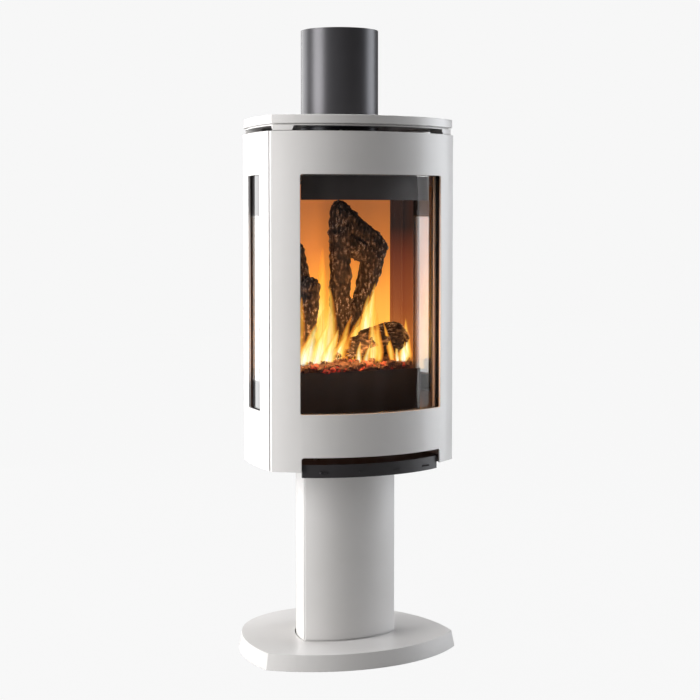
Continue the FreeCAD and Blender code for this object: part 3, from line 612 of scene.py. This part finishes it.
# Flames: x and y of the root, height, width, lean to the right, heat, thickness of the gas
FLAMES = [
    (-0.119, -0.080, 0.066, 0.038, 0.022, 1.00, 1.00), (-0.106, -0.078, 0.104, 0.040, 0.030, 1.00, 1.00),
    (-0.092, -0.082, 0.070, 0.036, 0.024, 1.00, 1.00), (-0.078, -0.076, 0.096, 0.034, 0.022, 1.00, 1.00),
    (-0.066, -0.082, 0.060, 0.030, 0.018, 1.00, 1.00), (-0.054, -0.074, 0.078, 0.034, 0.020, 0.95, 1.00),
    (-0.128, -0.060, 0.150, 0.040, 0.020, 0.70, 0.75), (-0.046, -0.020, 0.215, 0.056, 0.004, 0.78, 0.95),
    (-0.030, -0.018, 0.170, 0.048, 0.004, 0.86, 0.95), (-0.058, -0.016, 0.260, 0.044, 0.016, 0.55, 0.75),
    (-0.036, -0.072, 0.066, 0.030, 0.026, 0.95, 0.95), (-0.030, -0.074, 0.108, 0.028, 0.034, 0.62, 0.80),
    (-0.018, -0.072, 0.088, 0.020, 0.026, 0.50, 0.70), (-0.002, -0.082, 0.018, 0.013, 0.003, 0.80, 1.00),
    (0.012, -0.084, 0.050, 0.018, 0.004, 1.00, 1.00), (0.030, -0.084, 0.048, 0.017, 0.010, 0.95, 1.00),
    (0.046, -0.086, 0.110, 0.030, 0.000, 0.78, 1.00), (0.060, -0.086, 0.114, 0.026, -0.004, 0.55, 0.95),
    (0.026, -0.026, 0.104, 0.040, 0.022, 0.80, 0.95), (0.046, -0.024, 0.150, 0.046, 0.026, 1.00, 1.00),
    (0.064, -0.024, 0.176, 0.042, 0.016, 0.95, 1.00), (0.078, -0.022, 0.130, 0.036, 0.002, 0.85, 0.95),
    (0.094, -0.086, 0.094, 0.017, -0.026, 0.62, 1.00), (0.110, -0.080, 0.042, 0.013, -0.005, 1.00, 1.00),
    (0.124, -0.080, 0.050, 0.026, 0.002, 1.00, 1.00), (0.132, -0.076, 0.098, 0.024, 0.002, 0.90, 0.95),
    (0.140, -0.062, 0.060, 0.030, 0.006, 1.00, 1.00), (0.143, -0.044, 0.090, 0.022, 0.004, 0.60, 0.75),
    (-0.002, -0.016, 0.090, 0.040, 0.010, 0.80, 0.90), (-0.100, -0.010, 0.120, 0.036, 0.006, 0.80, 0.90),
]
FLAME_TURN = math.radians(-26.0)
FLAME_ROWS = 22
FLAME_COLUMNS = 11
FLAME_ROOT = 0.004
FLAME_WAIST = 0.28
FLAME_FOOT = 0.10
FLAME_SWAY = 0.10
SHEET_BULGE = 0.18
CROSSING_WIDTH = 0.8


def flame_girth(t):
    """Width at the height share t, next to the flame's full width: a round foot and a long taper."""
    if t < FLAME_WAIST:
        return 0.30 + 0.70 * math.sin(math.pi * (0.12 + 1.35 * t))
    return ((1.0 - t) / (1.0 - FLAME_WAIST)) ** 0.8


def flame_sheet(points, polygons, cover, heats, flame, turn, narrow):
    """One tongue as a curved sheet standing in the direction turn."""
    x, y, height, width, lean, heat, thickness = flame
    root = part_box("ember_bed")[1].z + FLAME_ROOT
    along = Vector((math.cos(turn), math.sin(turn), 0.0))
    across = Vector((-along.y, along.x, 0.0))
    sway = RNG.uniform(0, math.tau)
    offset = len(points)
    for row in range(FLAME_ROWS):
        t = row / (FLAME_ROWS - 1)
        half = 0.5 * width * narrow * flame_girth(t)
        drift = lean * t ** 1.4 + FLAME_SWAY * width * math.sin(sway + 5.0 * t) * t
        centre = Vector((x + drift, y, root + height * t))
        for column in range(FLAME_COLUMNS):
            u = 2 * column / (FLAME_COLUMNS - 1) - 1
            points.append(centre + along * (half * u) + across * (SHEET_BULGE * half * (1 - u * u)))
            cover.append(thickness * (1 - u * u) ** 0.8 * min(t / FLAME_FOOT, 1.0) * (1 - t) ** 0.35)
            heats.append(heat * (1 - 0.85 * abs(u) ** 1.5) * (1.0 - 0.50 * t ** 1.6))
    for row in range(FLAME_ROWS - 1):
        for column in range(FLAME_COLUMNS - 1):
            a = offset + row * FLAME_COLUMNS + column
            polygons.append([a, a + 1, a + FLAME_COLUMNS + 1, a + FLAME_COLUMNS])


def make_flames():
    """Tongues of fire, each two crossing sheets."""
    points, polygons, cover, heats = [], [], [], []
    for flame in FLAMES:
        for turn, narrow in ((FLAME_TURN, 1.0), (FLAME_TURN + math.pi / 2, CROSSING_WIDTH)):
            flame_sheet(points, polygons, cover, heats, flame, turn, narrow)
    flames = mesh_object("flames", points, polygons)
    store(flames, "gas_cover", cover)
    store(flames, "gas_heat", heats)
    flames.data.shade_smooth()
    flames.visible_shadow = False
    finish_piece(flames, flame_material(), "embers")


# ------------------------------------------------------------------ rope seal

ROPE_R = 0.0037
ROPE_STRANDS = 3
ROPE_PITCH = 0.0141
ROPE_STEP = 0.0012
ROPE_CORNER = 0.009
CORNER_STEPS = 12
STRAND_R = 0.52 * ROPE_R
STRAND_SIDES = 6


def rounded_oblong(half, bottom, top):
    """Flat loop of (across, up) points round the glass, with rounded corners."""
    corners = [Vector(c) for c in ((half, top), (-half, top), (-half, bottom), (half, bottom))]
    loop = []
    for before, corner, after in zip(corners[-1:] + corners[:-1], corners, corners[1:] + corners[:1]):
        towards_before = (before - corner).normalized()
        towards_after = (after - corner).normalized()
        hub = corner + (towards_before + towards_after) * ROPE_CORNER
        for step in range(CORNER_STEPS + 1):
            angle = 0.5 * math.pi * step / CORNER_STEPS
            loop.append(hub - towards_after * ROPE_CORNER * math.cos(angle)
                        - towards_before * ROPE_CORNER * math.sin(angle))
    return loop


def rope_route():
    """Centre line of the seal: (point, outward direction) pairs round the glass, parallel to its arc."""
    low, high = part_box("glass_gasket")
    depth = 2 * ROPE_R
    sagitta = high.y - low.y
    outer_r = (high.x ** 2 + sagitta ** 2 - depth ** 2) / (2 * (sagitta - depth))
    centre_y = low.y + outer_r
    radius = outer_r - ROPE_R
    half = radius * math.asin((high.x - ROPE_R) / radius)
    loop = rounded_oblong(half, low.z + ROPE_R, high.z - ROPE_R)
    route = []
    for first, second in zip(loop, loop[1:] + loop[:1]):
        steps = max(1, round((second - first).length / ROPE_STEP))
        for step in range(steps):
            across, z = first.lerp(second, step / steps)
            angle = across / radius
            outward = Vector((math.sin(angle), -math.cos(angle), 0.0))
            route.append((Vector((0, centre_y, z)) + outward * radius, outward))
    return route


def strand_rings(route, twists, share):
    """Ring of points round the strand at each place of the route; share sets where its twist starts."""
    rings = []
    count = len(route)
    for index, (place, outward) in enumerate(route):
        ahead = (route[(index + 1) % count][0] - route[index - 1][0]).normalized()
        sideways = ahead.cross(outward).normalized()
        phase = math.tau * (twists * index / count + share)
        middle = place + (outward * math.cos(phase) + sideways * math.sin(phase)) * (ROPE_R - STRAND_R)
        for side in range(STRAND_SIDES):
            angle = math.tau * side / STRAND_SIDES
            rings.append(middle + (outward * math.cos(angle) + sideways * math.sin(angle)) * STRAND_R)
    return rings


def make_rope():
    """Twisted glass-fibre rope between the glass and the firebox flange."""
    route = rope_route()
    count = len(route)
    length = sum((a[0] - b[0]).length for a, b in zip(route, route[1:] + route[:1]))
    twists = round(length / ROPE_PITCH)
    points, polygons = [], []
    for strand in range(ROPE_STRANDS):
        offset = len(points)
        points.extend(strand_rings(route, twists, strand / ROPE_STRANDS))
        for index in range(count):
            here = offset + index * STRAND_SIDES
            there = offset + (index + 1) % count * STRAND_SIDES
            for side in range(STRAND_SIDES):
                beside = (side + 1) % STRAND_SIDES
                polygons.append([here + side, here + beside, there + beside, there + side])
    rope = mesh_object("glass_rope_seal", points, polygons)
    rope.data.shade_smooth()
    finish_piece(rope, MATERIALS["rope_seal"], "rope_seal", "glass_gasket")


make_logs()
make_embers()
make_flames()
make_rope()


# ------------------------------------------------------------------ floor, light, camera

BACKDROP = 0.93
FILL = 0.12
FLOOR_HALF = 9.0


def make_floor():
    """Wide floor that looks as pale as the background, and throws back the light of a grey one."""
    corners = [(-FLOOR_HALF, -FLOOR_HALF, 0), (FLOOR_HALF, -FLOOR_HALF, 0),
               (FLOOR_HALF, FLOOR_HALF, 0), (-FLOOR_HALF, FLOOR_HALF, 0)]
    floor = mesh_object("floor", corners, [(0, 1, 2, 3)])
    material, tree, shader = new_material("pale_floor")
    grain = noise_texture(tree, rest_coordinates(tree), 30.0)
    dark = tint(tree, grain, (0.004, 0.004, 0.004), (0.006, 0.006, 0.006))
    tree.links.new(dark, shader.inputs["Base Color"])
    set_inputs(shader, {"Roughness": 0.9, "Specular IOR Level": 0.0, "Emission Color": (1.0, 1.0, 1.0, 1.0),
                        "Emission Strength": BACKDROP})
    grey = add(tree, "ShaderNodeBsdfDiffuse", {"Color": (0.45, 0.45, 0.45, 1.0)})
    tree.links.new(by_ray(tree, shader, grey), tree.nodes["Material Output"].inputs["Surface"])
    floor.data.materials.append(material)


def make_world():
    """Pale backdrop for the camera, and a dimmer, slightly warm fill for everything it lights."""
    world = bpy.data.worlds.new("studio")
    bpy.context.scene.world = world
    world.use_nodes = True
    tree = world.node_tree
    tree.nodes.clear()
    backdrop = add(tree, "ShaderNodeBackground", {"Color": (1, 1, 1, 1), "Strength": BACKDROP})
    fill = add(tree, "ShaderNodeBackground", {"Color": (1.0, 0.97, 0.95, 1), "Strength": FILL})
    output = add(tree, "ShaderNodeOutputWorld")
    tree.links.new(by_ray(tree, backdrop, fill), output.inputs["Surface"])


def area_light(name, place, target, size, power, colour=(1, 1, 1)):
    """Rectangular light at place, facing target; power in watts."""
    data = bpy.data.lights.new(name, "AREA")
    data.shape = "RECTANGLE"
    data.size, data.size_y = size
    data.energy = power
    data.color = colour
    light = new_object(name, data)
    light.location = place
    light.rotation_mode = "QUATERNION"
    light.rotation_quaternion = (Vector(target) - Vector(place)).to_track_quat("-Z", "Y")


# Light of the fire itself: x, y, z, watts
FIRE_LIGHTS = [(-0.115, -0.095, 0.68, 0.5), (-0.04, -0.105, 0.68, 0.5), (0.035, -0.105, 0.66, 0.35),
               (0.165, -0.095, 0.70, 0.35), (0.0, -0.11, 0.80, 0.35)]
FIRE_COLOUR = (1.0, 0.44, 0.13)
FIRE_SOFTNESS = 0.02


def make_lights():
    """Softboxes left, right and above, a card behind, and the fire."""
    area_light("left_softbox", place=(-2.6, 0.05, 1.1), target=(0, -0.05, 0.8), size=(1.5, 2.8), power=102,
               colour=(1.0, 0.995, 0.99))
    area_light("right_softbox", place=(2.56, -0.45, 1.1), target=(0, 0, 0.8), size=(1.5, 2.8), power=54,
               colour=(0.93, 0.96, 1.0))
    area_light("top_softbox", place=(0, 0.4, 3.2), target=(0, 0, 0.6), size=(2.4, 1.8), power=62)
    area_light("back_card", place=(-1.0, 2.5, 0.95), target=(-0.2, 0, 0.8), size=(2.2, 2.8), power=52)
    for index, (x, y, z, power) in enumerate(FIRE_LIGHTS):
        data = bpy.data.lights.new(f"fire_{index}", "POINT")
        data.energy = power
        data.color = FIRE_COLOUR
        data.shadow_soft_size = FIRE_SOFTNESS
        new_object(data.name, data).location = (x, y, z)


SENSOR_WIDTH = 36.0
EYE = (-1.5392, -3.2385, 0.9456)
EYE_AZIMUTH = math.radians(25.888)
EYE_PITCH = math.radians(3.27)
LENS = 83.871
LENS_SHIFT = -0.055


def make_camera():
    """Eye at the front left, a little above the middle of the casing."""
    data = bpy.data.cameras.new("camera")
    data.sensor_width = SENSOR_WIDTH
    data.lens = LENS
    data.shift_y = LENS_SHIFT
    camera = new_object("camera", data)
    camera.location = EYE
    camera.rotation_euler = (math.pi / 2 - EYE_PITCH, 0.0, -EYE_AZIMUTH)
    bpy.context.scene.camera = camera


FLAME_SHEETS_PASSED = 24


def set_view():
    """Colours as they are, and light that passes all the sheets of flame in its way."""
    scene = bpy.context.scene
    scene.cycles.transparent_max_bounces = FLAME_SHEETS_PASSED
    scene.view_settings.view_transform = "Standard"
    scene.view_settings.look = "None"


make_floor()
make_world()
make_lights()
make_camera()
set_view()
